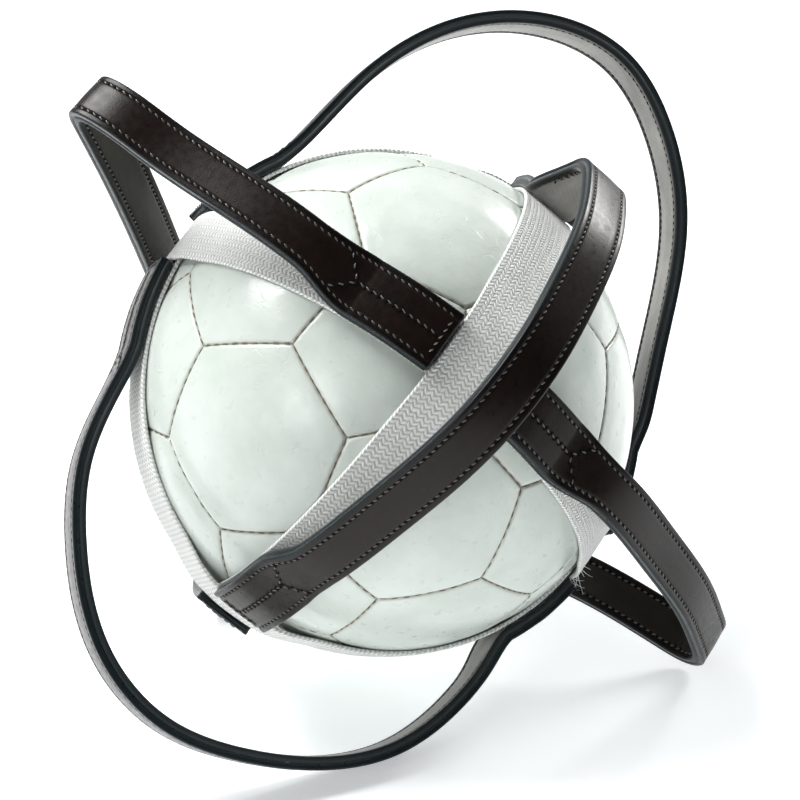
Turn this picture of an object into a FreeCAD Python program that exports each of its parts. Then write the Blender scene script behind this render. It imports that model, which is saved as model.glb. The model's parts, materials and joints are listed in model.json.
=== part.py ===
import FreeCAD, Part
import math
import os

# Horse ball: a hand-stitched 32-panel ball held in a harness of three webbing
# straps that cross at right angles at six places, with six two-layer leather
# handles.  Lengths are millimetres.
#
# Everything is built in the harness frame: origin at the ball's centre, +X to
# the right crossing, +Y to the top crossing, +Z to the front crossing.  The
# finished pieces are then turned into the pose in which the ball rests on its
# bottom, right and back handles, and moved so that the origin is the middle of
# the bottom of the bounding box.

Vector = FreeCAD.Vector
ORIGIN = Vector(0, 0, 0)

# Ball
BALL_RADIUS = 103.5                  # at the stitched seams, a size 4 ball
PANEL_PUFF = 0.8                     # a panel's middle stands out by this much
PANEL_THICKNESS = 2.0
SEAM_GAP = 0.3
LINING_THICKNESS = 1.5
BLADDER_THICKNESS = 0.9
LAYER_CLEARANCE = 0.2
PANEL_TURN = (-26.1, -11.3, -17.9)   # yaw, pitch, roll of the panels in the harness

# Valve, in the middle of the panel nearest to this direction
VALVE_DIRECTION = Vector(1, 1, -1)
VALVE_STEM_RADIUS = 3.5
VALVE_STEM_LENGTH = 12.0
VALVE_FLANGE_RADIUS = 9.0
VALVE_FLANGE_THICKNESS = 1.1
NEEDLE_BORE_RADIUS = 1.1
VALVE_CLEARANCE = 0.1

# Webbing
WEBBING_WIDTH = 25.0
WEBBING_THICKNESS = 1.4
WEBBING_RADIUS = BALL_RADIUS + PANEL_PUFF + 0.3      # inside of a strap
CROSSING_FLAT = 9.0                  # degrees each side of a crossing, strap on top
CROSSING_SLOPE = 20.0                # degrees, where it is back down on the ball

# Leather
LAYER_THICKNESS = 2.8                # two layers, outer leather and lining
GLUE_LINE = 0.03                     # half of the gap between the two layers
HANDLE_WIDTH = 20.0
TAB_WIDTH = 26.0
TAB_START = WEBBING_WIDTH / 2 + 0.7  # from the crossing's centre to the tab's end
NECK_REACH = BALL_RADIUS / 2         # a handle hinges on the line through its necks
HINGE_CUT = TAB_WIDTH / 2            # the tab ends in a tongue of this radius
HINGE_GAP = 0.4
TAB_CLEARANCE = 0.2
LEATHER_RADIUS = (WEBBING_RADIUS + WEBBING_THICKNESS + TAB_CLEARANCE
                  + GLUE_LINE + LAYER_THICKNESS)     # between the layers, at a tab

# Rest pose: yaw, pitch and roll that turn the harness frame upright
REST_ATTITUDE = (-9.8, 43.7, 49.1)

AXES = {
    "left": Vector(-1, 0, 0), "right": Vector(1, 0, 0),
    "bottom": Vector(0, -1, 0), "top": Vector(0, 1, 0),
    "back": Vector(0, 0, -1), "front": Vector(0, 0, 1),
}

# A handle runs from the crossing "start" to the opposite one and arches over
# the crossing it is named after.  "lean" is the turn in degrees, about the line
# through its necks, in which it rests.  "arch" holds points of its middle line
# between the two necks, as (along, reach) in ball radii: along is measured from
# the ball's centre towards the start, reach is measured towards the crossing
# that it arches over.
HANDLES = {
    "left": {"start": "front", "lean": 3.5, "arch": [
        (0.92, 0.66), (0.80, 1.00), (0.62, 1.38), (0.54, 1.59), (0.46, 1.66), (0.34, 1.60),
        (-0.03, 1.32), (-0.30, 1.14), (-0.61, 0.94), (-0.84, 0.715)]},
    "right": {"start": "front", "lean": -2.5, "arch": [
        (0.90, 0.70), (0.69, 1.07), (0.46, 1.37), (0.16, 1.63), (0.03, 1.70), (-0.06, 1.68),
        (-0.11, 1.58), (-0.17, 1.38), (-0.29, 1.17), (-0.59, 0.96), (-0.84, 0.715)]},
    "front": {"start": "bottom", "lean": 6.0, "arch": [
        (0.88, 0.66), (0.62, 1.03), (0.24, 1.36), (-0.08, 1.40), (-0.34, 1.33), (-0.62, 1.20),
        (-0.88, 0.97), (-0.99, 0.82), (-1.01, 0.71), (-0.97, 0.61)]},
    "back": {"start": "bottom", "lean": -10.0, "arch": [
        (0.90, 0.66), (0.86, 1.00), (0.80, 1.32), (0.46, 1.47), (0.0, 1.46),
        (-0.45, 1.34), (-0.78, 1.02), (-0.91, 0.70)]},
    "bottom": {"start": "left", "lean": 0.0, "arch": [
        (0.90, 0.66), (0.83, 0.94), (0.65, 1.22), (0.31, 1.50), (-0.04, 1.57),
        (-0.36, 1.48), (-0.62, 1.33), (-0.83, 1.11), (-0.94, 0.80), (-0.95, 0.62)]},
    "top": {"start": "left", "lean": 3.0, "arch": [
        (0.90, 0.68), (0.86, 1.02), (0.71, 1.41), (0.36, 1.73), (0.05, 1.80), (-0.25, 1.69),
        (-0.55, 1.41), (-0.775, 0.96), (-0.87, 0.74), (-0.92, 0.60)]},
}
HANDLE_SAMPLES = 120                 # points that carry the offset of a layer


# Panels ---------------------------------------------------------------------

def cyclic_with_signs(first, second, third):
    """The three cyclic shifts of a triple, with every choice of signs."""
    found = []
    for signs in [(a, b, c) for a in (1, -1) for b in (1, -1) for c in (1, -1)]:
        x, y, z = first * signs[0], second * signs[1], third * signs[2]
        for triple in ((x, y, z), (z, x, y), (y, z, x)):
            point = Vector(*triple).normalize()
            if all(point.distanceToPoint(other) > 1e-6 for other in found):
                found.append(point)
    return found


def ball_corners():
    """Directions of the 60 corners of a truncated icosahedron."""
    golden = (1 + math.sqrt(5)) / 2
    return (cyclic_with_signs(0, 1, 3 * golden)
            + cyclic_with_signs(1, 2 + golden, 2 * golden)
            + cyclic_with_signs(golden, 2, 2 * golden + 1))


def panel_directions():
    """Directions of the middles of the hexagons and of the pentagons."""
    golden = (1 + math.sqrt(5)) / 2
    hexagons = cyclic_with_signs(1, 1, 1) + cyclic_with_signs(0, golden, 1 / golden)
    pentagons = cyclic_with_signs(0, 1, golden)
    return {"hexagon": hexagons, "pentagon": pentagons}


def corners_round(middle, corners, count):
    """The panel's own corners, in order round its middle."""
    nearest = sorted(corners, key=lambda corner: -corner.dot(middle))[:count]
    across = middle.cross(nearest[0]).normalize()
    upright = across.cross(middle)
    return sorted(nearest, key=lambda corner: math.atan2(corner.dot(across), corner.dot(upright)))


def panel_shape(middle, corners):
    """One puffed panel, cut from a sphere by the planes of its seams."""
    foot = middle * corners[0].dot(middle)
    apothem = BALL_RADIUS * ((corners[0] + corners[1]) * 0.5 - foot).Length
    shrink = 1 - SEAM_GAP / 2 / apothem
    tips = [(foot + (corner - foot) * shrink) * (1.3 * BALL_RADIUS) for corner in corners]
    faces = [Part.Face(Part.makePolygon(tips + tips[:1]))]
    for tip, following in zip(tips, tips[1:] + tips[:1]):
        faces.append(Part.Face(Part.makePolygon([ORIGIN, tip, following, ORIGIN])))
    pyramid = Part.makeSolid(Part.makeShell(faces))

    top = BALL_RADIUS + PANEL_PUFF
    cosine = corners[0].dot(middle)
    shift = (top ** 2 - BALL_RADIUS ** 2) / (2 * (top - BALL_RADIUS * cosine))
    puffed = Part.makeSphere(top - shift, middle * shift)
    inside = Part.makeSphere(BALL_RADIUS - PANEL_THICKNESS)
    return pyramid.common(puffed).cut(inside)


def hollow_ball(outside, thickness):
    return Part.makeSphere(outside).cut(Part.makeSphere(outside - thickness))


def ball_pieces():
    """The panels, the lining, the bladder and its valve."""
    turn = FreeCAD.Rotation(*PANEL_TURN)
    corners = [turn.multVec(corner) for corner in ball_corners()]
    middles = panel_directions()
    pieces = {}
    for kind, count in (("hexagon", 6), ("pentagon", 5)):
        for number, direction in enumerate(middles[kind], 1):
            middle = turn.multVec(direction)
            own = corners_round(middle, corners, count)
            pieces["%s_panel_%02d" % (kind, number)] = panel_shape(middle, own)

    lining_outside = BALL_RADIUS - PANEL_THICKNESS - LAYER_CLEARANCE
    bladder_outside = lining_outside - LINING_THICKNESS - LAYER_CLEARANCE
    pieces["casing_lining"] = hollow_ball(lining_outside, LINING_THICKNESS)
    pieces["bladder"] = hollow_ball(bladder_outside, BLADDER_THICKNESS)

    hexagons = [turn.multVec(direction) for direction in middles["hexagon"]]
    axis = max(hexagons, key=lambda middle: middle.dot(VALVE_DIRECTION))
    valve_panel = "hexagon_panel_%02d" % (hexagons.index(axis) + 1)
    mouth = BALL_RADIUS
    hole = Part.makeCylinder(VALVE_STEM_RADIUS + VALVE_CLEARANCE, 30, axis * (mouth - 20), axis)
    for name in (valve_panel, "casing_lining", "bladder"):
        pieces[name] = pieces[name].cut(hole)
    stem = Part.makeCylinder(VALVE_STEM_RADIUS, VALVE_STEM_LENGTH,
                             axis * (mouth - VALVE_STEM_LENGTH), axis)
    inner_wall = bladder_outside - BLADDER_THICKNESS
    flange_top = math.sqrt(inner_wall ** 2 - VALVE_FLANGE_RADIUS ** 2) - VALVE_CLEARANCE
    flange = Part.makeCylinder(VALVE_FLANGE_RADIUS, VALVE_FLANGE_THICKNESS,
                               axis * (flange_top - VALVE_FLANGE_THICKNESS), axis)
    bore = Part.makeCylinder(NEEDLE_BORE_RADIUS, VALVE_STEM_LENGTH + 2,
                             axis * (mouth - VALVE_STEM_LENGTH - 1), axis)
    pieces["bladder_valve"] = stem.fuse(flange).removeSplitter().cut(bore)
    return pieces, axis * mouth, axis


# Webbing --------------------------------------------------------------------

def polar(radius, degrees, first, second):
    angle = math.radians(degrees)
    return first * (radius * math.cos(angle)) + second * (radius * math.sin(angle))


def strap_outline(radius, over, along):
    """A closed outline: it lies on the ball, and steps up over a strap twice."""
    high = math.hypot(WEBBING_RADIUS + WEBBING_THICKNESS, WEBBING_WIDTH / 2) + 0.15
    step = high - WEBBING_RADIUS
    edges = []
    for side in (0, 180):
        stops = [(step, side - CROSSING_FLAT), (step, side), (step, side + CROSSING_FLAT),
                 (0, side + CROSSING_SLOPE), (0, side + 90), (0, side + 180 - CROSSING_SLOPE),
                 (step, side + 180 - CROSSING_FLAT)]
        points = [polar(radius + rise, degrees, over, along) for rise, degrees in stops]
        edges.append(Part.Arc(points[0], points[1], points[2]).toShape())
        edges.append(Part.LineSegment(points[2], points[3]).toShape())
        edges.append(Part.Arc(points[3], points[4], points[5]).toShape())
        edges.append(Part.LineSegment(points[5], points[6]).toShape())
    return Part.Wire(edges)


def webbing_strap(over, along):
    """A flat band round the ball, on top at the crossing "over"."""
    across = over.cross(along)
    face = Part.Face([strap_outline(WEBBING_RADIUS + WEBBING_THICKNESS, over, along),
                      strap_outline(WEBBING_RADIUS, over, along)])
    face.translate(across * (-WEBBING_WIDTH / 2))
    return face.extrude(across * WEBBING_WIDTH)


def webbing_pieces():
    return {
        "webbing_strap_side": webbing_strap(AXES["top"], AXES["left"]),
        "webbing_strap_upright": webbing_strap(AXES["front"], AXES["top"]),
        "webbing_strap_level": webbing_strap(AXES["right"], AXES["front"]),
    }


# Handles --------------------------------------------------------------------
# A handle is drawn in its own plane: x along, z reach, y across its width.

def through(points):
    curve = Part.BSplineCurve()
    curve.interpolate(points)
    return curve


def samples(curve):
    """Points of a curve at even parameters, with the parameters."""
    span = curve.LastParameter - curve.FirstParameter
    parameters = [curve.FirstParameter + span * index / HANDLE_SAMPLES
                  for index in range(HANDLE_SAMPLES + 1)]
    return [(parameter, curve.value(parameter)) for parameter in parameters]


def middle_line(arch):
    """The curve between the two layers, from tab end to tab end, never under the webbing."""
    start_angle = math.degrees(TAB_START / LEATHER_RADIUS)
    neck_angle = math.degrees(math.asin(NECK_REACH / LEATHER_RADIUS)) - 2
    tab_angles = [start_angle + (neck_angle - start_angle) * step / 3 for step in range(4)]
    first = [polar(LEATHER_RADIUS, angle, Vector(1, 0, 0), Vector(0, 0, 1)) for angle in tab_angles]
    last = [Vector(-point.x, 0, point.z) for point in reversed(first)]
    between = [Vector(along * BALL_RADIUS, 0, reach * BALL_RADIUS) for along, reach in arch]
    sketched = through(first + between + last)
    return through([point * max(1, LEATHER_RADIUS / point.Length) for _, point in samples(sketched)])


def offset_curve(curve, distance):
    """The curve moved out, away from the ball, by a distance."""
    points = []
    for parameter, point in samples(curve):
        tangent = curve.tangent(parameter)[0]
        points.append(point + Vector(tangent.z, 0, -tangent.x) * distance)
    return through(points)


def band(curve, inner, outer, width):
    """A strip of leather between two offsets of a curve."""
    low = offset_curve(curve, inner)
    high = offset_curve(curve, outer)
    ends = [Part.LineSegment(low.value(low.FirstParameter), high.value(high.FirstParameter)),
            Part.LineSegment(low.value(low.LastParameter), high.value(high.LastParameter))]
    wire = Part.Wire([ends[0].toShape(), high.toShape(), ends[1].toShape(), low.toShape()])
    face = Part.Face(wire)
    face.translate(Vector(0, -width / 2, 0))
    return face.extrude(Vector(0, width, 0))


def hinge_zone(radius):
    """Everything nearer to the ball than the round cut between tab and handle."""
    length = 4 * BALL_RADIUS
    rod = Part.makeCylinder(radius, length, Vector(-length / 2, 0, NECK_REACH), Vector(1, 0, 0))
    slab = Part.makeBox(length, length, 2 * BALL_RADIUS,
                        Vector(-length / 2, -length / 2, NECK_REACH - 2 * BALL_RADIUS))
    return rod.fuse(slab)


def handle_placement(start, over, lean):
    """Moves a handle from its own plane into the harness, leaning."""
    across = over.cross(start)
    turned = FreeCAD.Placement(FreeCAD.Matrix(start.x, across.x, over.x, 0,
                                              start.y, across.y, over.y, 0,
                                              start.z, across.z, over.z, 0,
                                              0, 0, 0, 1))
    neck = over * NECK_REACH
    return FreeCAD.Placement(ORIGIN, FreeCAD.Rotation(start, lean), neck).multiply(turned)


def handle_pieces(name):
    """Outer leather, lining and the two stitched-down tabs of one handle."""
    handle = HANDLES[name]
    start = AXES[handle["start"]]
    over = AXES[name]
    curve = middle_line(handle["arch"])
    thickness = GLUE_LINE + LAYER_THICKNESS
    moving = handle_placement(start, over, -handle["lean"])
    fixed = handle_placement(start, over, 0)
    near = hinge_zone(HINGE_CUT + HINGE_GAP)

    leather = band(curve, GLUE_LINE, thickness, HANDLE_WIDTH).cut(near)
    lining = band(curve, -thickness, -GLUE_LINE, HANDLE_WIDTH).cut(near)
    tabs = band(curve, -thickness, thickness, TAB_WIDTH).common(hinge_zone(HINGE_CUT))
    pieces = {
        "handle_%s_leather" % name: leather.transformed(moving.toMatrix()),
        "handle_%s_lining" % name: lining.transformed(moving.toMatrix()),
        "handle_%s_tabs" % name: tabs.transformed(fixed.toMatrix()),
    }
    return pieces, curve.length()


# Assembly -------------------------------------------------------------------

def overall_box(shapes):
    box = FreeCAD.BoundBox()
    for shape in shapes:
        box.add(shape.optimalBoundingBox(False))
    return box


def main():
    os.makedirs("parts", exist_ok=True)
    pieces, valve_mouth, valve_axis = ball_pieces()
    pieces.update(webbing_pieces())
    for name in HANDLES:
        found, length = handle_pieces(name)
        pieces.update(found)
        print("handle_%s is %.0f mm long" % (name, length))

    attitude = FreeCAD.Rotation(*REST_ATTITUDE)
    upright = FreeCAD.Placement(ORIGIN, attitude)
    placed = {name: shape.transformed(upright.toMatrix()) for name, shape in pieces.items()}
    box = overall_box(placed.values())
    shift = Vector(-box.Center.x, -box.Center.y, -box.ZMin)
    for name, shape in placed.items():
        shape.translate(shift)
        shape.exportStep("parts/%s.step" % name)

    print("%d nodes, %.1f x %.1f x %.1f mm" % (len(placed), box.XLength, box.YLength, box.ZLength))
    print("ball centre", shift)
    print("valve mouth", attitude.multVec(valve_mouth) + shift, "axis", attitude.multVec(valve_axis))
    for name, handle in HANDLES.items():
        neck = attitude.multVec(AXES[name] * NECK_REACH) + shift
        print("hinge", name, neck, attitude.multVec(AXES[handle["start"]]))
        leather = placed["handle_%s_leather" % name]
        print("   lowest point", leather.optimalBoundingBox(False).ZMin)


main()
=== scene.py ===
import json
import math
import random

import bpy
import numpy as np
from mathutils import Euler, Matrix, Vector, noise


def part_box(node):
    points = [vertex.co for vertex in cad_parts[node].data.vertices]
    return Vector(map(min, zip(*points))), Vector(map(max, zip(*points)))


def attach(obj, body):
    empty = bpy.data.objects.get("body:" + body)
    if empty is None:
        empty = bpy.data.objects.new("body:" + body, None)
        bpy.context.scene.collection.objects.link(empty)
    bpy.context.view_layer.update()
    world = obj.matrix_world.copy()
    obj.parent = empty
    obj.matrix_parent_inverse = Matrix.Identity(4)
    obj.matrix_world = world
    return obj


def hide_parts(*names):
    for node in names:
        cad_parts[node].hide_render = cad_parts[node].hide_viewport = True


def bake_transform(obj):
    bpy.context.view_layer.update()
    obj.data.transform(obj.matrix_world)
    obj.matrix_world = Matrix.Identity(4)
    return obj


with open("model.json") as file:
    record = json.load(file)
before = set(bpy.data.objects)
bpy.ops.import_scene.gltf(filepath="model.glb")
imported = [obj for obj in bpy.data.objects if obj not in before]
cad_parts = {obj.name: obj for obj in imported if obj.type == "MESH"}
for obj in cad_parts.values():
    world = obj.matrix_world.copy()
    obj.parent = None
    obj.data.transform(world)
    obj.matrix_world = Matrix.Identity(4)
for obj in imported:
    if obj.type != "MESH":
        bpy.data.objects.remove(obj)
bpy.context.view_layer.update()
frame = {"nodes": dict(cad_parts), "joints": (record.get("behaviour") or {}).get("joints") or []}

# The looks of a horse ball, built round its CAD frame: 32 puffed and stitched
# panels, three woven straps and six saddle-stitched leather handles, shaped
# with a turn where they leave the ball.  Lengths are metres, in the frame's own axes.

ROOT = "ball_and_harness"

# Ball
PANEL_TURN = (-26.1, -11.3, -17.9)  # yaw, pitch, roll of the panels in the harness, as in the CAD
PANEL_TOP = 0.10420                  # a panel's middle, from the ball's centre
PANEL_LOW = 0.1033                   # level that a panel falls to near a seam
PANEL_INSIDE = 0.1016                # its back, where it meets the casing lining
PUFF_WIDTH = 0.0055                  # how far from a seam the panel is still rising
ROLL_WIDTH = 0.0014                  # the edge rolls down into the seam
ROLL_DEPTH = 0.0013
SEAM_GAP = 0.00006                   # from the seam's line to a panel's edge
SIDE_STEPS = 18                      # points along one side of a panel
RING_COUNT = 26
RING_CROWDING = 1.8                  # above 1, the rings crowd towards the seam
PANEL_FLAT = 0.008                   # distance from a seam at which dents are at full height
DENT_HEIGHT = 0.00024
DENT_SCALE = 8.0                     # dents across one ball radius
THREAD_LENGTH = 0.0027
THREAD_PITCH = 0.0046
THREAD_RADIUS = 0.00024
THREAD_LEVEL = 0.10305
THREAD_SINK = 0.00022                # how much deeper or higher single threads lie
THREAD_TILT = 0.10
VALVE_HOLE = 0.0038

# Webbing
STRAP_WIDTH = 0.025
STRAP_THICKNESS = 0.0014
STRAP_INSIDE = 0.1046                # radius of a strap where it lies on the ball
STRAP_STEP = 0.0023                  # rise over the strap that it crosses
FLAT_ANGLE = 8.5                     # degrees each side of a crossing, at full rise
SLOPE_ANGLE = 21.0                   # degrees, back down on the ball
STRAP_STEPS = 560
RIB_PITCH = 0.0017                   # width of a column of zigzags
ZIGZAG_PITCH = 0.0020                # along the strap
SELVEDGE = 0.0016
FRAY_COUNT = 9
FRAY_RADIUS = 0.00022

# Leather
LAYER = 0.0028                       # thickness of each of the two layers
LAYER_ROUNDNESS = 0.0007             # of a layer's long edges
END_ROUNDNESS = 0.0006
CORNER_RADIUS = 0.0013               # of a tab, seen from above
BACK_COLUMNS = 7                     # points across a layer's hidden back
BACK_MARGIN = 0.00015
GROOVE_DEPTH = 0.00042               # the stitches lie in a groove
GROOVE_WIDTH = 0.00055
DOME_HEIGHT = 0.00016                # the leather swells between the two grooves
WRINKLE_HEIGHT = 0.00014             # of the lining, where it bends
WRINKLE_BEND = 45.0                  # curvature with full wrinkles, in 1/m
GLUE_LINE = 0.00003
HANDLE_HALF = 0.010
TAB_HALF = 0.013
TAB_START = 0.0132                   # from a crossing's centre to the tab's end
WIDE_UNTIL = 0.052                   # the tab keeps its width as far as this
NARROW_FROM = 0.078
LEATHER_RADIUS = 0.10903             # between the layers, where they lie on the ball
HANDLE_STEP = 0.0008
BEND_START = 0.053                   # reach at which a handle starts to turn
BEND_END = 0.072
STITCH_INSET = 0.003
STITCH_PITCH = 0.0031
STITCH_HALF = 0.00118
STITCH_RADIUS = 0.00036
STITCH_SLANT = 20.0                  # degrees
STITCH_LIFT = 0.0001                 # of a thread's middle over the groove
HOLE_RADIUS = 0.0008
HOLE_LIFT = 0.0003
HOLE_REACH = 1.12                    # from a thread's middle, in half lengths of the thread
CHEVRON_TIP = 0.054                  # from the crossing's centre
BLACK_BROWN = (0.0045, 0.0024, 0.0018, 1)

# Camera, in degrees, metres and, for the lens, millimetres
CAMERA_ELEVATION = 24.0
CAMERA_ROLL = 5.0
CAMERA_DISTANCE = 0.9688
CAMERA_LENS = 104.2
CAMERA_SHIFT = (0.0206, 0.0026)

# The harness: a handle's joint lies on the line through its two necks, which
# runs from the crossing where the handle starts to the opposite one.
JOINTS = {joint["child"][len("handle_"):]: joint for joint in frame["joints"]}
NECKS = {name: Vector(joint["pos_m"]) for name, joint in JOINTS.items()}
CENTRE = sum(NECKS.values(), Vector()) / len(NECKS)
NECK_REACH = (NECKS["left"] - CENTRE).length
BALL_RADIUS = 2 * NECK_REACH
OVER = {name: (neck - CENTRE).normalized() for name, neck in NECKS.items()}

# Middle line of each handle between its necks, as (along, reach) in ball radii,
# and its lean in degrees about the line through its necks, as in the CAD model.
HANDLES = {
    "left": {"lean": 3.5, "arch": [
        (0.92, 0.66), (0.80, 1.00), (0.62, 1.38), (0.54, 1.59), (0.46, 1.66), (0.34, 1.60),
        (-0.03, 1.32), (-0.30, 1.14), (-0.61, 0.94), (-0.84, 0.715)]},
    "right": {"lean": -2.5, "arch": [
        (0.90, 0.70), (0.69, 1.07), (0.46, 1.37), (0.16, 1.63), (0.03, 1.70), (-0.06, 1.68),
        (-0.11, 1.58), (-0.17, 1.38), (-0.29, 1.17), (-0.59, 0.96), (-0.84, 0.715)]},
    "front": {"lean": 6.0, "arch": [
        (0.88, 0.66), (0.62, 1.03), (0.24, 1.36), (-0.08, 1.40), (-0.34, 1.33), (-0.62, 1.20),
        (-0.88, 0.97), (-0.99, 0.82), (-1.01, 0.71), (-0.97, 0.61)]},
    "back": {"lean": -10.0, "arch": [
        (0.90, 0.66), (0.86, 1.00), (0.80, 1.32), (0.46, 1.47), (0.0, 1.46),
        (-0.45, 1.34), (-0.78, 1.02), (-0.91, 0.70)]},
    "bottom": {"lean": 0.0, "arch": [
        (0.90, 0.66), (0.83, 0.94), (0.65, 1.22), (0.31, 1.50), (-0.04, 1.57),
        (-0.36, 1.48), (-0.62, 1.33), (-0.83, 1.11), (-0.94, 0.80), (-0.95, 0.62)]},
    "top": {"lean": 3.0, "arch": [
        (0.90, 0.68), (0.86, 1.02), (0.71, 1.41), (0.36, 1.73), (0.05, 1.80), (-0.25, 1.69),
        (-0.55, 1.41), (-0.775, 0.96), (-0.87, 0.74), (-0.92, 0.60)]},
}

PAINTED_LIT_LININGS = ("top", "bottom", "front")  # handles whose lining is painted paler: a lit copy of the lining, painted light


# Meshes -----------------------------------------------------------------------

def new_object(name, mesh, materials):
    """A smooth-shaded object with its materials, in the scene."""
    mesh.polygons.foreach_set("use_smooth", [True] * len(mesh.polygons))
    for material in materials:
        mesh.materials.append(material)
    made = bpy.data.objects.new(name, mesh)
    bpy.context.scene.collection.objects.link(made)
    return made


def grid_mesh(name, points, along, around, closed_along=False, caps=False, poles=()):
    """A mesh of quads on points [row][column].  Every row is a closed loop.

    along and around are the UVs in metres.  caps closes the first and the last
    row with a face, and poles gives points that close them with a fan."""
    rows, columns = points.shape[:2]
    vertices = points.reshape(-1, 3).tolist() + [list(pole) for pole in poles]
    faces, uvs = [], []
    for row in range(rows if closed_along else rows - 1):
        following = (row + 1) % rows
        for column in range(columns):
            beside = (column + 1) % columns
            faces.append((row * columns + column, row * columns + beside,
                          following * columns + beside, following * columns + column))
            uvs += [(along[row], around[row][column]), (along[row], around[row][column + 1]),
                    (along[row + 1], around[row][column + 1]), (along[row + 1], around[row][column])]
    if caps:
        for row, turn in ((0, -1), (rows - 1, 1)):
            order = list(range(columns))[::turn]
            faces.append([row * columns + column for column in order])
            uvs += [(along[row], around[row][column]) for column in order]
    for index, row in zip(range(len(poles)), (0, rows - 1)):
        for column in range(columns):
            pair = (column, (column + 1) % columns)
            first, second = pair if row else pair[::-1]
            faces.append((row * columns + first, row * columns + second, rows * columns + index))
            uvs += [(along[row], around[row][column])] * 3
    mesh = bpy.data.meshes.new(name)
    mesh.from_pydata(vertices, [], faces)
    layer = mesh.uv_layers.new(name="surface")
    layer.data.foreach_set("uv", np.array(uvs, np.float32).ravel())
    return mesh


def point_attribute(mesh, name, values):
    attribute = mesh.attributes.new(name, "FLOAT", "POINT")
    attribute.data.foreach_set("value", np.asarray(values, np.float32))


def smooth(share):
    share = np.clip(share, 0, 1)
    return share * share * (3 - 2 * share)


def unit(vectors):
    return vectors / np.linalg.norm(vectors, axis=-1, keepdims=True)


def distances_along(points):
    """Length of a line of points up to each of them."""
    return np.concatenate([[0], np.cumsum(np.linalg.norm(np.diff(points, axis=0), axis=1))])


def spindles(places, first, second, third, half_length, radius):
    """Short rounded threads: vertices and quads, one thread for each place."""
    stations = [(-1.0, 0.25), (-0.75, 0.8), (0.0, 1.0), (0.75, 0.8), (1.0, 0.25)]
    sides = 7
    shape = []
    for station, width in stations:
        for side in range(sides):
            angle = 2 * math.pi * side / sides
            shape.append((station * half_length, width * radius * math.cos(angle),
                          width * radius * math.sin(angle)))
    shape = np.array(shape)
    vertices = (places[:, None] + shape[None, :, :1] * first[:, None]
                + shape[None, :, 1:2] * second[:, None] + shape[None, :, 2:] * third[:, None])
    faces = []
    for number in range(len(places)):
        base = number * len(shape)
        for station in range(len(stations) - 1):
            for side in range(sides):
                low = base + station * sides
                beside = (side + 1) % sides
                faces.append((low + side, low + beside, low + sides + beside, low + sides + side))
        faces.append([base + side for side in range(sides)][::-1])
        faces.append([base + len(shape) - sides + side for side in range(sides)])
    return vertices.reshape(-1, 3), faces


def discs(places, first, second, radius):
    """Small flat eight-sided faces, for the holes that the thread goes into."""
    sides = 8
    angles = 2 * math.pi * np.arange(sides) / sides
    ring = (np.cos(angles)[None, :, None] * first[:, None]
            + np.sin(angles)[None, :, None] * second[:, None]) * radius
    vertices = (places[:, None] + ring).reshape(-1, 3)
    faces = [list(range(number * sides, (number + 1) * sides)) for number in range(len(places))]
    return vertices, faces


# Materials ----------------------------------------------------------------------

class Nodes:
    """A material's node tree, with short ways to add nodes to it."""

    def __init__(self, name):
        self.material = bpy.data.materials.new(name)
        self.material.use_nodes = True
        self.tree = self.material.node_tree
        self.shader = self.tree.nodes["Principled BSDF"]

    def add(self, kind, inputs=(), **settings):
        made = self.tree.nodes.new(kind)
        for key, value in settings.items():
            setattr(made, key, value)
        for key, value in dict(inputs).items():
            if isinstance(value, bpy.types.NodeSocket):
                self.tree.links.new(value, made.inputs[key])
            else:
                made.inputs[key].default_value = value
        return made

    def math(self, operation, *values):
        return self.add("ShaderNodeMath", dict(enumerate(values)), operation=operation).outputs[0]

    def coordinates(self):
        """The surface UV in millimetres: the vector, along and across."""
        uv = self.add("ShaderNodeUVMap", uv_map="surface").outputs[0]
        scaled = self.add("ShaderNodeVectorMath", {0: uv, 1: (1000, 1000, 1000)},
                          operation="MULTIPLY").outputs[0]
        split = self.add("ShaderNodeSeparateXYZ", {0: scaled})
        return scaled, split.outputs[0], split.outputs[1]

    def stretched(self, vector, scale):
        return self.add("ShaderNodeVectorMath", {0: vector, 1: scale}, operation="MULTIPLY").outputs[0]

    def noise(self, vector, scale, detail=3.0, roughness=0.5, distortion=0.0):
        return self.add("ShaderNodeTexNoise", {"Vector": vector, "Scale": scale, "Detail": detail,
                                               "Roughness": roughness, "Distortion": distortion}).outputs[0]

    def span(self, value, low, high, to_low=0.0, to_high=1.0):
        return self.add("ShaderNodeMapRange", {"Value": value, "From Min": low, "From Max": high,
                                               "To Min": to_low, "To Max": to_high}).outputs[0]

    def mix(self, share, first, second):
        made = self.add("ShaderNodeMix", data_type="RGBA")
        for socket, value in ((made.inputs[0], share), (made.inputs[6], first), (made.inputs[7], second)):
            if isinstance(value, bpy.types.NodeSocket):
                self.tree.links.new(value, socket)
            else:
                socket.default_value = value
        return made.outputs[2]

    def attribute(self, name):
        return self.add("ShaderNodeAttribute", attribute_name=name).outputs["Fac"]

    def bump(self, height, distance):
        return self.add("ShaderNodeBump", {"Height": height, "Distance": distance,
                                           "Strength": 1.0}).outputs[0]

    def finish(self, **values):
        """Sets the shader's sockets: links for sockets, plain values otherwise."""
        for key, value in values.items():
            socket = self.shader.inputs[key.replace("_", " ")]
            if isinstance(value, bpy.types.NodeSocket):
                self.tree.links.new(value, socket)
            else:
                socket.default_value = value
        return self.material


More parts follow.
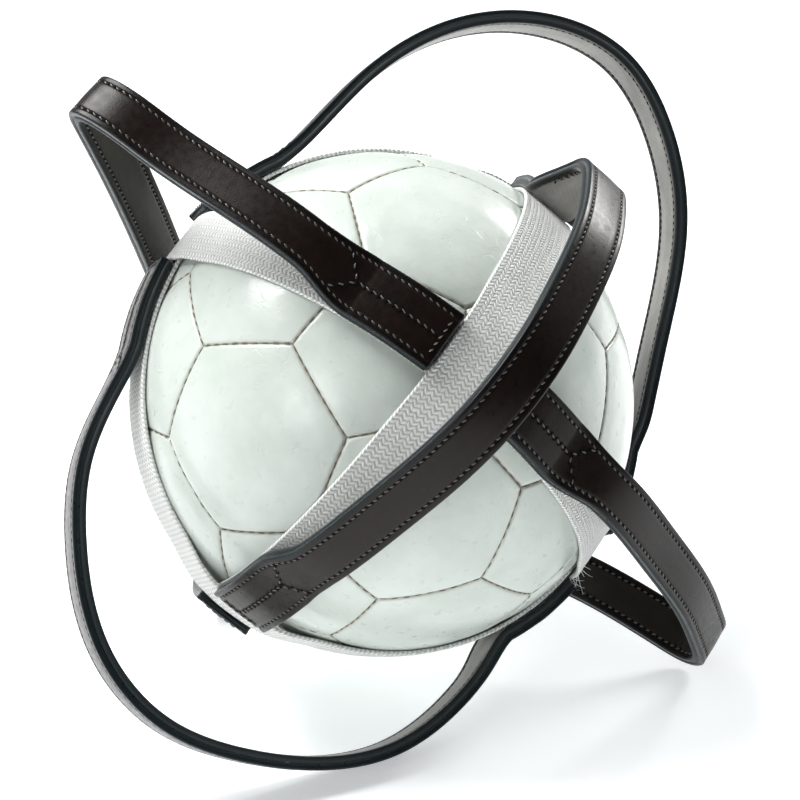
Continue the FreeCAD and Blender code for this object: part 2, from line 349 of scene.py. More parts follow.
def panel_material():
    """Glossy coated white leather with faint creases, darker and yellower within 1.5 mm of the seams."""
    n = Nodes("panel_leather")
    vector, _, _ = n.coordinates()
    seam = n.attribute("seam")
    cloud = n.noise(vector, 0.03, 4.0, 0.6)
    base = n.mix(n.span(cloud, 0.35, 0.65), (0.54, 0.60, 0.55, 1), (0.63, 0.68, 0.64, 1))
    edge = n.span(seam, 0.2, 1.5, 1.0, 0.0)
    # The colour turns darker and yellower within 1.5 mm of a seam.
    seam_darkened = n.mix(n.math("MULTIPLY", edge, 0.75), base, (0.50, 0.49, 0.42, 1))
    warped = n.noise(vector, 0.07, 2.0, 0.5, 1.2)
    crease = n.math("ABSOLUTE", n.math("SUBTRACT", warped, 0.5))
    line = n.span(crease, 0.0, 0.018, 1.0, 0.0)
    patch = n.span(n.noise(vector, 0.035, 1.0), 0.5, 0.62)
    creases = n.math("MULTIPLY", line, patch)
    grain = n.noise(vector, 2.2, 2.0)
    height = n.math("ADD", n.math("MULTIPLY", grain, 0.04), n.math("MULTIPLY", creases, -0.4))
    pucker = n.math("MULTIPLY", n.noise(vector, 0.38, 2.0), n.span(seam, 0.3, 5.0, 1.6, 0.0))
    height = n.math("ADD", height, pucker)
    height = n.math("ADD", height, n.math("MULTIPLY", n.noise(vector, 0.09, 3.0), 2.2))
    rough = n.span(n.noise(vector, 0.2, 4.0), 0.3, 0.7, 0.26, 0.36)
    return n.finish(Base_Color=seam_darkened, Roughness=n.math("ADD", rough, n.math("MULTIPLY", edge, 0.3)),
                    Normal=n.bump(height, 0.00016), Coat_Weight=0.35, Coat_Roughness=0.16)


def seam_thread_material():
    n = Nodes("seam_thread")
    position = n.add("ShaderNodeTexCoord").outputs["Object"]
    spots = n.noise(position, 900.0, 2.0)
    base = n.mix(spots, (0.05, 0.045, 0.035, 1), (0.26, 0.24, 0.19, 1))
    return n.finish(Base_Color=base, Roughness=0.7, Normal=n.bump(spots, 0.0001))


def webbing_material():
    """White webbing: zigzag ribs across the strap, in narrow columns along it."""
    n = Nodes("webbing")
    vector, along, across = n.coordinates()
    column = n.math("PINGPONG", across, RIB_PITCH * 1000)
    slanted = n.math("ADD", along, n.math("MULTIPLY", column, 0.75))
    wobble = n.math("MULTIPLY", n.noise(vector, 0.5, 2.0), 0.9)
    phase = n.math("MULTIPLY", n.math("ADD", slanted, wobble), 2 * math.pi / (ZIGZAG_PITCH * 1000))
    rib = n.span(n.math("SINE", phase), -1.0, 0.7)
    groove = n.math("ABSOLUTE", n.math("SINE", n.math("MULTIPLY", across, math.pi / (RIB_PITCH * 1000))))
    yarn = n.math("MULTIPLY", rib, n.span(groove, 0.0, 0.75, 0.25, 1.0))
    fibre = n.noise(n.stretched(vector, (5.0, 1.2, 1.0)), 2.0, 3.0)
    height = n.math("ADD", yarn, n.math("MULTIPLY", fibre, 0.35))
    soil = n.span(n.noise(vector, 0.06, 3.0), 0.4, 0.75, 0.0, 0.35)
    bright = n.mix(soil, (0.95, 0.96, 0.95, 1), (0.86, 0.85, 0.80, 1))
    # The gaps between the yarns are painted grey: painted shade in the hollows of the weave.
    base = n.mix(n.span(yarn, 0.0, 0.4), (0.50, 0.51, 0.49, 1), bright)
    return n.finish(Base_Color=base, Roughness=0.78, Normal=n.bump(height, 0.0004),
                    Sheen_Weight=0.35, Sheen_Roughness=0.4)


def leather_material(name, dark, light, gloss, fold_strength, sheen):
    """Waxed bridle leather: fine grain, cloudy dye and burnished blue-grey edges.

    dark and light are the dye between the stitch lines; in the paler lining copy they are lighter tones that
    paint light on it.  Outside the stitch lines it is black brown.  gloss is the middle of the roughness."""
    n = Nodes(name)
    vector, along, across = n.coordinates()
    inset = n.attribute("inset")
    side = n.attribute("side")
    cloud = n.noise(n.stretched(vector, (0.5, 1.0, 1.0)), 0.09, 4.0, 0.6)
    middle = n.mix(n.span(cloud, 0.15, 0.85), dark, light)
    slanted = n.math("ADD", along, n.math("MULTIPLY", across, 0.7))
    lines = n.math("SINE", n.math("ADD", n.math("MULTIPLY", slanted, 2.6), n.math("MULTIPLY", cloud, 9.0)))
    middle = n.mix(n.span(lines, -0.6, 1.0, 0.0, 0.15), middle, dark)
    base = n.mix(n.span(inset, 2.7, 3.1), BLACK_BROWN, middle)
    cells = n.add("ShaderNodeTexVoronoi", {"Vector": vector, "Scale": 0.9, "Randomness": 1.0},
                  feature="DISTANCE_TO_EDGE").outputs["Distance"]
    grain = n.span(cells, 0.0, 0.2)
    pores = n.noise(vector, 1.3, 3.0)
    folds = n.noise(n.stretched(vector, (1.0, 0.12, 1.0)), 0.5, 3.0, 0.6, 0.4)
    height = n.math("ADD", n.math("MULTIPLY", grain, 0.06), n.math("MULTIPLY", pores, 0.5))
    height = n.math("ADD", height, n.math("MULTIPLY", folds, fold_strength))
    worn = n.math("MULTIPLY", n.span(inset, 0.3, 1.0, 1.0, 0.0), n.span(pores, 0.3, 0.6, 0.4, 1.0))
    rubbed = n.mix(n.math("MULTIPLY", worn, 0.5), base, (0.030, 0.030, 0.030, 1))
    fibres = n.noise(n.stretched(vector, (0.7, 6.0, 1.0)), 1.0, 3.0)
    edge = n.mix(fibres, (0.003, 0.006, 0.007, 1), (0.016, 0.023, 0.026, 1))
    colour = n.mix(side, rubbed, edge)
    rough = n.span(n.noise(vector, 0.35, 4.0), 0.3, 0.7, gloss - 0.05, gloss + 0.07)
    return n.finish(Base_Color=colour, Roughness=rough, Normal=n.bump(height, 0.00008),
                    Specular_IOR_Level=0.22, Sheen_Weight=sheen, Sheen_Roughness=0.35)


def stitch_material():
    n = Nodes("stitch_thread")
    vector, _, _ = n.coordinates()
    strand = n.noise(vector, 2.5, 2.0)
    base = n.mix(strand, (0.03, 0.027, 0.024, 1), (0.17, 0.155, 0.135, 1))
    return n.finish(Base_Color=base, Roughness=0.28, Normal=n.bump(strand, 0.0001))


def hole_material():
    # Flat black discs that paint the shade inside the stitch holes.
    n = Nodes("stitch_hole")
    position = n.add("ShaderNodeTexCoord").outputs["Object"]
    spots = n.noise(position, 700.0, 2.0)
    return n.finish(Base_Color=n.mix(spots, (0.002, 0.002, 0.002, 1), (0.006, 0.006, 0.006, 1)),
                    Roughness=0.9, Specular_IOR_Level=0.1)


def plain_material(name, dark, light, roughness, scale):
    """For the pieces inside the ball: a mottled surface with a fine bump."""
    n = Nodes(name)
    position = n.add("ShaderNodeTexCoord").outputs["Object"]
    cloud = n.noise(position, scale, 4.0)
    fine = n.noise(position, scale * 12, 3.0)
    return n.finish(Base_Color=n.mix(cloud, dark, light), Roughness=roughness,
                    Normal=n.bump(fine, 0.0002))


def floor_material():
    n = Nodes("floor")
    position = n.add("ShaderNodeTexCoord").outputs["Object"]
    cloud = n.noise(position, 3.0, 3.0)
    return n.finish(Base_Color=n.mix(cloud, (0.93, 0.94, 0.95, 1), (0.96, 0.97, 0.97, 1)),
                    Roughness=0.8, Specular_IOR_Level=0.2,
                    Emission_Color=(0.95, 0.98, 1.0, 1), Emission_Strength=0.45)


# Ball -----------------------------------------------------------------------------

def ball_corners():
    """Directions of the 60 corners of a truncated icosahedron, turned into the frame."""
    golden = (1 + math.sqrt(5)) / 2
    found = []
    for triple in ((0, 1, 3 * golden), (1, 2 + golden, 2 * golden), (golden, 2, 2 * golden + 1)):
        for signs in [(a, b, c) for a in (1, -1) for b in (1, -1) for c in (1, -1)]:
            x, y, z = [value * sign for value, sign in zip(triple, signs)]
            for point in (Vector((x, y, z)), Vector((z, x, y)), Vector((y, z, x))):
                point.normalize()
                if all((point - other).length > 1e-6 for other in found):
                    found.append(point)
    harness = Matrix((OVER["right"], OVER["top"], OVER["front"])).transposed()
    yaw, pitch, roll = [math.radians(angle) for angle in PANEL_TURN]
    turn = harness @ Euler((roll, pitch, yaw)).to_matrix()
    return [turn @ point for point in found]


def direction_of(node):
    """Direction of a CAD node's middle, from the ball's centre."""
    low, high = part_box(node)
    return ((low + high) / 2 - CENTRE).normalized()


def panel_corners(node, count):
    """The middle and the corners of a CAD panel, in order, as directions from the centre."""
    rough = direction_of(node)
    nearest = sorted(CORNERS, key=lambda corner: -corner.dot(rough))[:count]
    middle = sum(nearest, Vector()).normalized()
    across = middle.cross(nearest[0]).normalized()
    upright = across.cross(middle)
    nearest.sort(key=lambda corner: math.atan2(corner.dot(across), corner.dot(upright)))
    return np.array(middle), np.array(nearest)


def panel_height(distances):
    """How far a panel's surface is from the ball's centre, given the distances to its sides."""
    puff = np.prod(1 - np.exp(-distances / PUFF_WIDTH), axis=1)
    share = np.clip(distances / ROLL_WIDTH, 0, 1)
    roll = np.prod(np.sqrt(1 - (1 - share) ** 2), axis=1)
    return PANEL_LOW + (PANEL_TOP - PANEL_LOW) * puff - ROLL_DEPTH * (1 - roll)


def make_panel(node, number, material):
    """One puffed panel, closed at the back, in place of its CAD node."""
    count = 6 if node.startswith("hexagon") else 5
    middle, corners = panel_corners(node, count)
    hole = VALVE_HOLE if node == VALVE_PANEL else 0.0
    foot = middle * (corners @ middle).mean()
    flat = (corners - foot) * BALL_RADIUS
    following = np.roll(flat, -1, axis=0)
    normals = unit((flat + following) / 2)
    apothem = np.linalg.norm((flat + following) / 2, axis=1).mean()
    flat = flat * (1 - SEAM_GAP / apothem)
    following = np.roll(flat, -1, axis=0)
    shares = np.arange(SIDE_STEPS) / SIDE_STEPS
    rim = (flat[:, None] + (following - flat)[:, None] * shares[None, :, None]).reshape(-1, 3)
    rim_radius = np.linalg.norm(rim, axis=1, keepdims=True)
    outward = rim / rim_radius

    across = unit(flat[0])
    upright = np.cross(middle, across)
    shift = np.array((0.11 * (number % 6), 0.11 * (number // 6)))
    rings, seams, planes = [], [], []
    first_ring = 0.0 if hole else 0.3
    for ring in range(RING_COUNT + 1):
        share = 1 - (1 - (ring + first_ring) / (RING_COUNT + first_ring)) ** RING_CROWDING
        point = outward * (hole + (rim_radius - hole) * share)
        distances = np.maximum(apothem - point @ normals.T, 0)
        if hole:
            distances = np.hstack([distances, np.linalg.norm(point, axis=1, keepdims=True) - hole])
        radius = panel_height(np.maximum(distances, 0))
        direction = unit(foot * BALL_RADIUS + point)
        dent = np.array([noise.noise(Vector(row) * DENT_SCALE + Vector((number * 3.1, 0, 0)))
                         for row in direction])
        inner = smooth(distances.min(axis=1) / PANEL_FLAT)
        radius = radius + DENT_HEIGHT * dent * inner
        rings.append(direction * radius[:, None])
        seams.append(distances.min(axis=1) * 1000)
        planes.append(np.stack([point @ across, point @ upright], axis=1) + shift)
    back = [unit(ring) * PANEL_INSIDE for ring in rings[::-1]]
    points = (np.array(rings + back) + np.array(CENTRE))[:, ::-1]
    poles = () if hole else (np.array(CENTRE) + middle * np.linalg.norm(rings[0], axis=1).mean(),
                             np.array(CENTRE) + middle * PANEL_INSIDE)
    rows = len(points)
    mesh = grid_mesh(node + "_skin", points, np.zeros(rows + 1),
                     np.zeros((rows, rim.shape[0] + 1)), closed_along=bool(hole), poles=poles)
    plane = np.array(planes + planes[::-1])[:, ::-1].reshape(-1, 2)
    plane = np.vstack([plane] + [shift[None]] * len(poles))
    loops = np.zeros(len(mesh.loops), int)
    mesh.loops.foreach_get("vertex_index", loops)
    mesh.uv_layers["surface"].data.foreach_set("uv", plane[loops].astype(np.float32).ravel())
    seam = np.concatenate([np.array(seams + [np.zeros_like(s) for s in seams])[:, ::-1].ravel(),
                           [20.0] * len(poles)])
    point_attribute(mesh, "seam", seam)
    piece = new_object(node + "_skin", mesh, [material])
    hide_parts(node)
    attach(piece, ROOT)
    return [(corners[side], corners[(side + 1) % count]) for side in range(count)]


def make_seam_thread(seams, material):
    """Short dark threads down in the valleys between the panels."""
    places, firsts, seconds, thirds = [], [], [], []
    done = []
    for start, end in seams:
        middle = unit(start + end)
        if any(middle @ other > 0.9999 for other in done):
            continue
        done.append(middle)
        length = BALL_RADIUS * math.acos(start @ end)
        count = int(length / THREAD_PITCH)
        for step in range(count):
            share = (step + 0.5) / count
            direction = unit(start * (1 - share) + end * share)
            along = unit(end - start - direction * ((end - start) @ direction))
            side = np.cross(direction, along)
            tilt = THREAD_TILT * math.sin(step * 2.4 + len(done))
            sunk = THREAD_SINK * math.sin(step * 1.7 + len(done) * 2.3)
            places.append(np.array(CENTRE) + direction * (THREAD_LEVEL + sunk))
            firsts.append(unit(along + side * tilt))
            seconds.append(side)
            thirds.append(direction)
    vertices, faces = spindles(np.array(places), np.array(firsts), np.array(seconds),
                               np.array(thirds), THREAD_LENGTH / 2, THREAD_RADIUS)
    mesh = bpy.data.meshes.new("seam_thread")
    mesh.from_pydata(vertices.tolist(), [], faces)
    piece = new_object("seam_thread", mesh, [material])
    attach(piece, ROOT)


# Webbing ----------------------------------------------------------------------------

def strap_section():
    """The strap's section as (across, up), a loop with corded selvedges."""
    half, thick = STRAP_WIDTH / 2, STRAP_THICKNESS / 2
    insets = np.concatenate([[0.0003, 0.0007], np.linspace(0.0012, STRAP_WIDTH / 2, 12)])
    top = [(half - inset, thick * (1 + 0.25 * math.exp(-((inset - SELVEDGE / 2) / 0.0006) ** 2))
            * min(1.0, math.sqrt(inset / 0.0007))) for inset in insets]
    right = [(half, 0.0)] + top
    upper = right + [(-across, up) for across, up in right[-2::-1]]
    lower = [(across, -up) for across, up in upper[-2:0:-1]]
    return np.array(upper + lower)


def make_strap(name, over, along, material):
    """A woven band round the ball, on top where it passes "over"."""
    section = strap_section()
    across = np.array(over.cross(along))
    over, along = np.array(over), np.array(along)
    angles = 2 * math.pi * np.arange(STRAP_STEPS) / STRAP_STEPS
    away = np.degrees(np.abs((angles + math.pi / 2) % math.pi - math.pi / 2))
    rise = smooth((SLOPE_ANGLE - away) / (SLOPE_ANGLE - FLAT_ANGLE))
    rows = []
    for number, (angle, lift) in enumerate(zip(angles, rise)):
        outward = over * math.cos(angle) + along * math.sin(angle)
        sag = section[:, 0] ** 2 / (2 * STRAP_INSIDE) * (0.75 - 0.55 * lift)
        ripple = 0.00006 * math.sin(number * 0.37) + 0.00005 * math.sin(number * 0.11 + 1.0)
        radius = STRAP_INSIDE + STRAP_THICKNESS / 2 + STRAP_STEP * lift + section[:, 1] - sag + ripple * lift
        rows.append(outward * radius[:, None] + across * section[:, :1])
    points = np.array(rows) + np.array(CENTRE)
    lengths = 2 * math.pi * STRAP_INSIDE * np.arange(STRAP_STEPS + 1) / STRAP_STEPS
    travel = distances_along(np.vstack([section, section[:1]]))
    mesh = grid_mesh(name + "_weave", points, lengths, np.tile(travel, (STRAP_STEPS, 1)), closed_along=True)
    piece = new_object(name + "_weave", mesh, [material])
    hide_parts(name)
    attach(piece, ROOT)


def make_frays(material):
    """Loose white threads at the straps' edges, at the right crossing."""
    chance = random.Random(4)
    right, front, top = OVER["right"], OVER["front"], OVER["top"]
    for number in range(FRAY_COUNT):
        start = CENTRE + right * (0.1078 + chance.uniform(-0.0008, 0.0006))
        start += front * chance.uniform(0.008, 0.0135) + top * chance.uniform(-0.013, -0.004)
        heading = (right * chance.uniform(0.2, 0.9) + front * chance.uniform(-0.2, 0.8)
                   + top * chance.uniform(-0.9, 0.1)).normalized()
        curl = Vector([chance.uniform(-1, 1) for _ in range(3)])
        length = chance.uniform(0.004, 0.009)
        line = np.array([start + heading * (length * t) + curl * (length * 0.35 * t * t)
                         for t in np.linspace(0, 1, 9)])
        radius = FRAY_RADIUS * np.linspace(1.0, 0.35, len(line))
        side = unit(np.cross(np.array(heading), (0.3, 0.5, 0.8)))
        other = np.cross(np.array(heading), side)
        turns = 2 * math.pi * np.arange(6) / 6
        ring = np.cos(turns)[:, None] * side + np.sin(turns)[:, None] * other
        points = line[:, None] + ring[None] * radius[:, None, None]
        mesh = grid_mesh("fray_%d" % number, points, np.linspace(0, length, 10),
                         np.tile(np.linspace(0, 0.001, 7), (9, 1)), caps=True)
        piece = new_object("webbing_fray_%d" % number, mesh, [material])
        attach(piece, ROOT)


# Handles ------------------------------------------------------------------------------

def cubic_points(points, step):
    """A smooth curve through points, sampled at an even step of arc length."""
    points = np.array(points, float)
    stops = distances_along(points)
    count = len(points)
    gaps = np.diff(stops)
    system = np.zeros((count, count))
    right = np.zeros((count, 2))
    system[0, 0] = system[-1, -1] = 1
    for i in range(1, count - 1):
        system[i, i - 1:i + 2] = gaps[i - 1], 2 * (gaps[i - 1] + gaps[i]), gaps[i]
        right[i] = 6 * ((points[i + 1] - points[i]) / gaps[i] - (points[i] - points[i - 1]) / gaps[i - 1])
    bend = np.linalg.solve(system, right)
    fine = []
    for i in range(count - 1):
        t = np.linspace(0, gaps[i], 60, endpoint=False)[:, None]
        a, b = points[i], points[i + 1]
        slope = (b - a) / gaps[i] - gaps[i] * (2 * bend[i] + bend[i + 1]) / 6
        fine.append(a + slope * t + bend[i] * t ** 2 / 2 + (bend[i + 1] - bend[i]) * t ** 3 / (6 * gaps[i]))
    fine = np.vstack(fine + [points[-1:]])
    travel = distances_along(fine)
    even = np.linspace(0, travel[-1], int(travel[-1] / step) + 1)
    return np.stack([np.interp(even, travel, fine[:, k]) for k in (0, 1)], axis=1)


class Handle:
    """The middle line of one handle, in the frame, and the axes across it."""

    def __init__(self, name):
        start = Vector(JOINTS[name]["axis"]).normalized()
        over = OVER[name]
        first_angle = TAB_START / LEATHER_RADIUS
        neck_angle = math.asin(NECK_REACH / LEATHER_RADIUS) - math.radians(2)
        tab = [(LEATHER_RADIUS * math.cos(angle), LEATHER_RADIUS * math.sin(angle))
               for angle in np.linspace(first_angle, neck_angle, 4)]
        arch = [(along * BALL_RADIUS, reach * BALL_RADIUS) for along, reach in HANDLES[name]["arch"]]
        back = [(-along, reach) for along, reach in reversed(tab)]
        line = cubic_points(tab + arch + back, HANDLE_STEP)
        radius = np.linalg.norm(line, axis=1, keepdims=True)
        line = line * np.maximum(1, LEATHER_RADIUS / radius)
        self.travel = distances_along(line)
        self.length = self.travel[-1]
        tangent = unit(np.gradient(line, axis=0))
        self.curvature = np.linalg.norm(np.gradient(tangent, self.travel, axis=0), axis=1)
        start, over = np.array(start), np.array(over)
        across = np.cross(over, start)
        turn = smooth((line[:, 1] - BEND_START) / (BEND_END - BEND_START))
        lean = -math.radians(HANDLES[name]["lean"]) * turn
        leaned_over = over * np.cos(lean)[:, None] + np.cross(start, over) * np.sin(lean)[:, None]
        leaned_across = across * np.cos(lean)[:, None] + np.cross(start, across) * np.sin(lean)[:, None]
        reach = line[:, 1:] - NECK_REACH
        self.centre = (np.array(CENTRE) + start * line[:, :1] + over * NECK_REACH + leaned_over * reach)
        self.tangent = start * tangent[:, :1] + leaned_over * tangent[:, 1:]
        self.outward = start * tangent[:, 1:] - leaned_over * tangent[:, :1]
        self.across = leaned_across
        self.over = Vector(over)

    def half_width(self, travel):
        nearest = np.minimum(travel, self.length - travel) + TAB_START
        share = smooth((nearest - WIDE_UNTIL) / (NARROW_FROM - WIDE_UNTIL))
        return TAB_HALF + (HANDLE_HALF - TAB_HALF) * share

    def at(self, travel, across, height):
        """Points on the handle, and the axes there, by arc length."""
        def along(values):
            return np.stack([np.interp(travel, self.travel, values[:, k]) for k in range(3)], axis=1)
        tangent, outward, side = unit(along(self.tangent)), unit(along(self.outward)), along(self.across)
        place = along(self.centre) + side * across[:, None] + outward * height[:, None]
        return place, tangent, side, outward


def drop(distance, radius):
    """How far a quarter round of this radius falls, at a distance from its outer end."""
    share = np.clip(distance / radius, 0, 1)
    return radius * (1 - np.sqrt(1 - (1 - share) ** 2))


def face_height(inset, half):
    """Height of a layer's face over its back, by the distance from its edge."""
    height = LAYER - drop(inset, LAYER_ROUNDNESS)
    groove = GROOVE_DEPTH * np.exp(-((inset - STITCH_INSET) / GROOVE_WIDTH) ** 2)
    dome = DOME_HEIGHT * smooth((inset - STITCH_INSET) / (half - STITCH_INSET))
    return height - groove + dome


FACE_INSETS = np.array([0.0, 0.00012, 0.00035, 0.0007, 0.0013, 0.0019, 0.0023, 0.00265, 0.003,
                        0.00335, 0.0037, 0.0042, 0.0052])


def make_layer(handle, name, facing, material):
    """One leather layer, from tab end to tab end; facing is 1 for the outer one."""
    travel = handle.travel
    half = handle.half_width(travel)
    inner = np.linspace(FACE_INSETS[-1], 1, 4)[1:]
    rows, insets, sides = [], [], []
    for index in range(len(travel)):
        inset = np.concatenate([FACE_INSETS, FACE_INSETS[-1] + (half[index] - FACE_INSETS[-1]) * inner])
        inset = np.concatenate([inset, inset[-2::-1]])
        count = len(inset)
        across = np.concatenate([half[index] - inset[:count // 2 + 1], inset[count // 2 + 1:] - half[index]])
        height = face_height(inset, half[index])
        if facing < 0:
            strength = min(1.0, handle.curvature[index] / WRINKLE_BEND)
            wrinkle = math.sin(travel[index] / 0.00042 + 0.8 * math.sin(travel[index] / 0.0021))
            height = height - WRINKLE_HEIGHT * strength * (1 + wrinkle) * smooth((inset - 0.001) / 0.002)
        ends = min(travel[index], handle.length - travel[index])
        height = height - drop(ends, END_ROUNDNESS)
        tuck = drop(ends, CORNER_RADIUS)
        across = np.clip(across, -half[index] + tuck, half[index] - tuck)
        back = np.linspace(-1, 1, BACK_COLUMNS) * (half[index] - BACK_MARGIN - tuck)
        across = np.concatenate([across, back])
        height = np.concatenate([height, np.zeros(BACK_COLUMNS)]) + GLUE_LINE
        rows.append(handle.centre[index] + handle.across[index] * across[:, None]
                    + handle.outward[index] * (facing * height)[:, None])
        insets.append(np.concatenate([inset, np.zeros(BACK_COLUMNS)]) * 1000)
        side = np.zeros(len(across))
        side[:3] = side[count - 3:count] = 1.0
        side[count:] = 1.0
        sides.append(side if 0.0008 < ends else np.ones(len(across)))
    points = np.array(rows)
    if facing > 0:
        points = points[:, ::-1]
        insets = [row[::-1] for row in insets]
        sides = [row[::-1] for row in sides]
    widths = np.linalg.norm(np.diff(np.concatenate([points, points[:, :1]], axis=1), axis=1), axis=2)
    around = np.concatenate([np.zeros((len(points), 1)), np.cumsum(widths, axis=1)], axis=1)
    around += (0.5 * facing + 1.0) * 0.1
    mesh = grid_mesh(name, points, travel.tolist() + [handle.length], around, caps=True)
    point_attribute(mesh, "inset", np.concatenate(insets))
    point_attribute(mesh, "side", np.concatenate(sides))
    return new_object(name, mesh, [material])


def even_stops(start, end):
    count = max(1, int(round(abs(end - start) / STITCH_PITCH)))
    return start + (end - start) * (np.arange(count) + 0.5) / count


def stitch_lines(handle, facing):
    """Stitches as (travel, across, heading): heading is the line's turn in degrees."""
    low = STITCH_INSET if facing > 0 else WIDE_UNTIL
    stops = even_stops(low, handle.length - low)
    inset = handle.half_width(stops) - STITCH_INSET
    found = []
    for sign in (1, -1):
        found += [(travel, sign * across, 0.0) for travel, across in zip(stops, inset)]
    if facing < 0:
        return np.array(found)
    tip = CHEVRON_TIP - TAB_START
    edge = TAB_HALF - STITCH_INSET
    for flip in (False, True):
        tab = [(STITCH_INSET, across, 90.0) for across in even_stops(-edge + 0.002, edge - 0.002)]
        tab += [(travel, 0.0, 0.0) for travel in even_stops(STITCH_INSET + 0.002, tip - 0.001)]
        for step in even_stops(0.0, edge - 0.001):
            tab += [(tip + step, step, 45.0), (tip + step, -step, -45.0)]
        if flip:
            tab = [(handle.length - travel, across, -turn) for travel, across, turn in tab]
        found += tab
    return np.array(found)


def make_stitches(handle, name, facing, materials):
    """Slanted threads in the stitch lines, each with a flat black disc at both ends that paints the shade
    inside the hole.
    """
    lines = stitch_lines(handle, facing)
    travel, across = lines[:, 0], lines[:, 1]
    half = handle.half_width(travel)
    surface = face_height(half - np.abs(across), half) + GLUE_LINE
    place, tangent, side, outward = handle.at(travel, across, facing * surface)
    angle = np.radians(lines[:, 2] + STITCH_SLANT)[:, None]
    heading = tangent * np.cos(angle) + side * np.sin(angle)
    beside = np.cross(outward, heading)
    threads, faces = spindles(place + outward * facing * STITCH_LIFT, heading, beside, outward,
                              STITCH_HALF, STITCH_RADIUS)
    ends = []
    for sign in (1, -1):
        ends.append(place + heading * (sign * STITCH_HALF * HOLE_REACH) + outward * facing * HOLE_LIFT)
    holes, rounds = discs(np.vstack(ends), np.vstack([heading] * 2), np.vstack([beside] * 2) * facing,
                          HOLE_RADIUS)
    mesh = bpy.data.meshes.new(name)
    shifted = [[vertex + len(threads) for vertex in face] for face in rounds]
    mesh.from_pydata(np.vstack([threads, holes]).tolist(), [], faces + shifted)
    mesh.uv_layers.new(name="surface")
    loops = np.zeros(len(mesh.loops), int)
    mesh.loops.foreach_get("vertex_index", loops)
    corners = np.vstack([threads, holes])[loops]
    uv = np.stack([corners @ np.array((0.6, 0.7, 0.4)), corners @ np.array((0.7, -0.4, 0.6))], axis=1)
    mesh.uv_layers["surface"].data.foreach_set("uv", uv.astype(np.float32).ravel())
    piece = new_object(name, mesh, materials)
    mesh.polygons.foreach_set("material_index", [0] * len(faces) + [1] * len(rounds))
    return piece


def make_handle(name, materials):
    """Leather, lining and stitching of one handle, shaped with a turn at its two necks."""
    handle = Handle(name)
    body = "handle_" + name
    leather = make_layer(handle, body + "_outer", 1, materials["leather"])
    # The handles in the list get the paler lining copy, which paints the light that falls on them.
    lining_key = "painted_lit_lining" if name in PAINTED_LIT_LININGS else "lining"
    lining = make_layer(handle, body + "_inner", -1, materials[lining_key])
    threads = [materials["stitch"], materials["hole"]]
    outer_stitches = make_stitches(handle, body + "_outer_stitches", 1, threads)
    inner_stitches = make_stitches(handle, body + "_inner_stitches", -1, threads)
    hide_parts(body + "_leather", body + "_tabs")
    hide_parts(body + "_lining")
    for piece, slot in ((leather, "handle_leather"), (lining, "handle_lining"),
                        (outer_stitches, "handle_leather"), (inner_stitches, "handle_lining")):
        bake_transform(piece)


# Stage ----------------------------------------------------------------------------------

def make_stage():
    """A wide pale floor under the object."""
    bpy.ops.mesh.primitive_grid_add(x_subdivisions=8, y_subdivisions=8, size=12.0)
    floor = bpy.context.object
    floor.name = "floor"
    floor.data.materials.append(floor_material())


def add_light(name, place, target, size, power, colour):
    data = bpy.data.lights.new(name, "AREA")
    data.shape = "RECTANGLE"
    data.size, data.size_y = size
    data.energy = power
    data.color = colour
    light = bpy.data.objects.new(name, data)
    bpy.context.scene.collection.objects.link(light)
    light.location = place
    light.rotation_euler = (Vector(target) - Vector(place)).to_track_quat("-Z", "Y").to_euler()


def make_lights():
    """Soft light from above, behind and the sides; the viewer's side is left dim."""
    world = bpy.data.worlds.new("studio")
    world.use_nodes = True
    nodes, links = world.node_tree.nodes, world.node_tree.links
    split = nodes.new("ShaderNodeSeparateXYZ")
    links.new(nodes.new("ShaderNodeTexCoord").outputs["Generated"], split.inputs[0])
    depth = nodes.new("ShaderNodeMapRange")
    depth.interpolation_type = "SMOOTHSTEP"
    for key, value in (("From Min", -0.45), ("From Max", 0.4), ("To Min", 0.05), ("To Max", 0.50)):
        depth.inputs[key].default_value = value
    links.new(split.outputs["Y"], depth.inputs["Value"])
    background = nodes["Background"]
    background.inputs["Color"].default_value = (0.96, 0.99, 1.0, 1)
    links.new(depth.outputs[0], background.inputs["Strength"])
    bpy.context.scene.world = world
    middle = (0, 0, 0.13)
    add_light("overhead", (-0.62, 0.16, 1.33), middle, (0.78, 0.74), 30, (1.0, 1.0, 0.99))
    add_light("back_right", (1.15, 1.05, 0.75), middle, (0.6, 0.5), 16, (1.0, 0.99, 0.97))
    add_light("fill", (-0.9, -1.2, 0.75), middle, (0.5, 0.5), 4, (1.0, 1.0, 1.0))


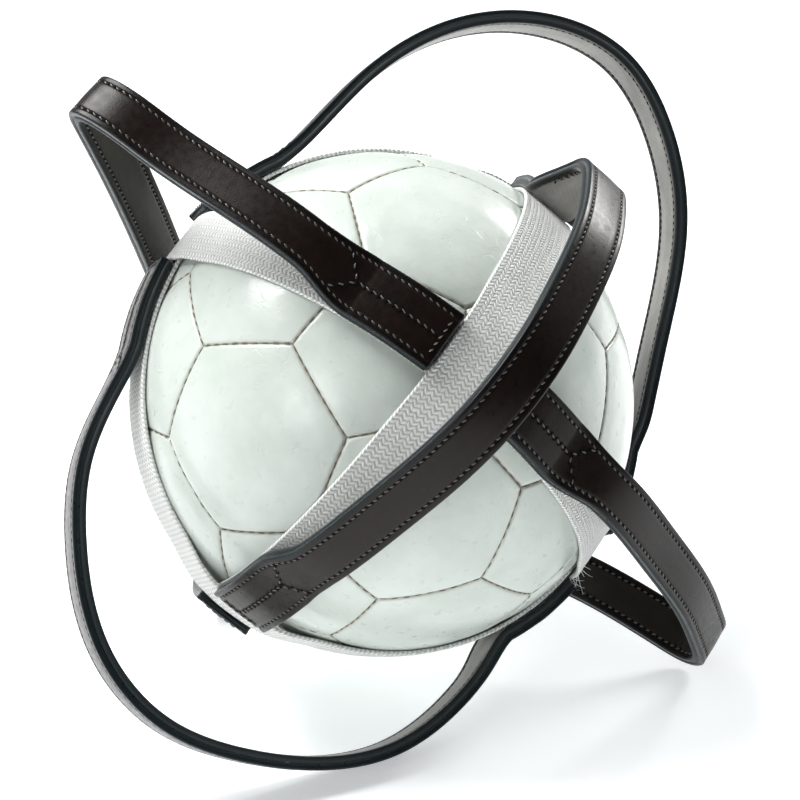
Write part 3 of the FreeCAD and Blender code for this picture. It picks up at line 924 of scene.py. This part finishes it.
def make_camera():
    """It looks along +Y and down on the ball's centre, rolled a little."""
    tilt = math.radians(CAMERA_ELEVATION)
    back = Vector((0, -math.cos(tilt), math.sin(tilt)))
    level_up = Vector((0, math.sin(tilt), math.cos(tilt)))
    roll = math.radians(CAMERA_ROLL)
    up = level_up * math.cos(roll) + Vector((1, 0, 0)) * math.sin(roll)
    side = up.cross(back)
    data = bpy.data.cameras.new("camera")
    data.sensor_width = 36.0
    data.lens = CAMERA_LENS
    data.shift_x, data.shift_y = CAMERA_SHIFT
    camera = bpy.data.objects.new("camera", data)
    bpy.context.scene.collection.objects.link(camera)
    turn = Matrix((side, up, back)).transposed().to_4x4()
    camera.matrix_world = Matrix.Translation(CENTRE + back * CAMERA_DISTANCE) @ turn
    bpy.context.scene.camera = camera


# The object -------------------------------------------------------------------------------

def near_valve():
    """The hexagon panel that the bladder's valve comes through."""
    direction = direction_of("bladder_valve")
    panels = [node for node in frame["nodes"] if node.startswith("hexagon_panel")]
    return max(panels, key=lambda node: direction_of(node).dot(direction))


CORNERS = ball_corners()
VALVE_PANEL = near_valve()

panel = panel_material()
seam_lines = []
for index, node in enumerate(sorted(n for n in frame["nodes"] if "_panel_" in n)):
    seam_lines += make_panel(node, index, panel)
make_seam_thread(seam_lines, seam_thread_material())

weave = webbing_material()
make_strap("webbing_strap_side", OVER["top"], OVER["left"], weave)
make_strap("webbing_strap_upright", OVER["front"], OVER["top"], weave)
make_strap("webbing_strap_level", OVER["right"], OVER["front"], weave)
make_frays(weave)

handle_materials = {
    "leather": leather_material("handle_leather", BLACK_BROWN, (0.0125, 0.0068, 0.0050, 1), 0.31, 0.3, 0.0),
    "lining": leather_material("handle_lining", (0.012, 0.010, 0.008, 1), (0.028, 0.025, 0.020, 1),
                               0.45, 0.9, 0.15),
    # A paler, lit copy of the lining: painted light, for the handles that catch the most light.
    "painted_lit_lining": leather_material("handle_lining_painted_lit", (0.13, 0.125, 0.115, 1), (0.36, 0.35, 0.33, 1),
                                    0.5, 0.9, 0.5),
    "stitch": stitch_material(),
    "hole": hole_material(),
}
for handle_name in HANDLES:
    make_handle(handle_name, handle_materials)

inside = {
    "casing_lining": plain_material("casing_textile", (0.55, 0.50, 0.40, 1), (0.70, 0.66, 0.56, 1), 0.85, 60),
    "bladder": plain_material("bladder_rubber", (0.02, 0.019, 0.018, 1), (0.035, 0.033, 0.032, 1), 0.55, 40),
    "bladder_valve": plain_material("valve_rubber", (0.012, 0.012, 0.012, 1), (0.03, 0.03, 0.03, 1),
                                    0.5, 200),
}
for node, material in inside.items():
    frame["nodes"][node].data.materials.clear()
    frame["nodes"][node].data.materials.append(material)

make_stage()
make_lights()
make_camera()
bpy.context.scene.view_settings.view_transform = "Standard"
